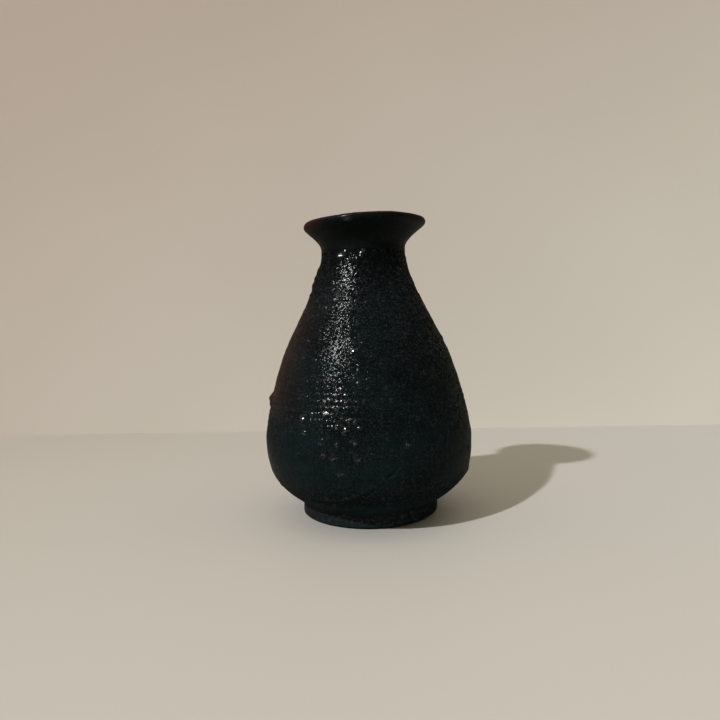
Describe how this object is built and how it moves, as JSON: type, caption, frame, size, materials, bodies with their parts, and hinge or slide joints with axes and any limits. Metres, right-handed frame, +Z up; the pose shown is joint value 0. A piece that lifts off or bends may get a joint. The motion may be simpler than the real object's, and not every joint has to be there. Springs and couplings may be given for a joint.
{
  "type": "stoneware vase",
  "caption": "Pear-shaped stoneware vase with a luted foot ring, a narrow throat and a flared mouth, under a gritty near-black glaze that breaks to brown at the lip.",
  "frame": {"origin": "on the table under the centre of the belly, at the bottom of the foot", "axes": "+Z up along the vase, +X to the right and -Y towards the viewer in the picture"},
  "size_m": [0.08, 0.08, 0.1129],
  "materials": {
    "foot_clay": "bare dark brown stoneware, fired, matt and slightly gritty",
    "body_clay": "dark brown stoneware under the glaze",
    "slip": "fired joining slip",
    "body_glaze": "gritty near-black glaze with a faint blue-green cast, semi-gloss with sparkling grains",
    "mouth_glaze": "smoother near-black glaze that breaks to reddish brown along the lip",
    "inner_glaze": "smooth dark liner glaze"
  },
  "bodies": {
    "root": {"foot_ring": "foot_clay", "foot_slip_seam": "slip", "body": "body_clay", "neck_slip_seam": "slip", "mouth_collar": "body_clay", "body_glaze": "body_glaze", "mouth_glaze": "mouth_glaze", "inner_glaze": "inner_glaze"}
  },
  "joints": []
}
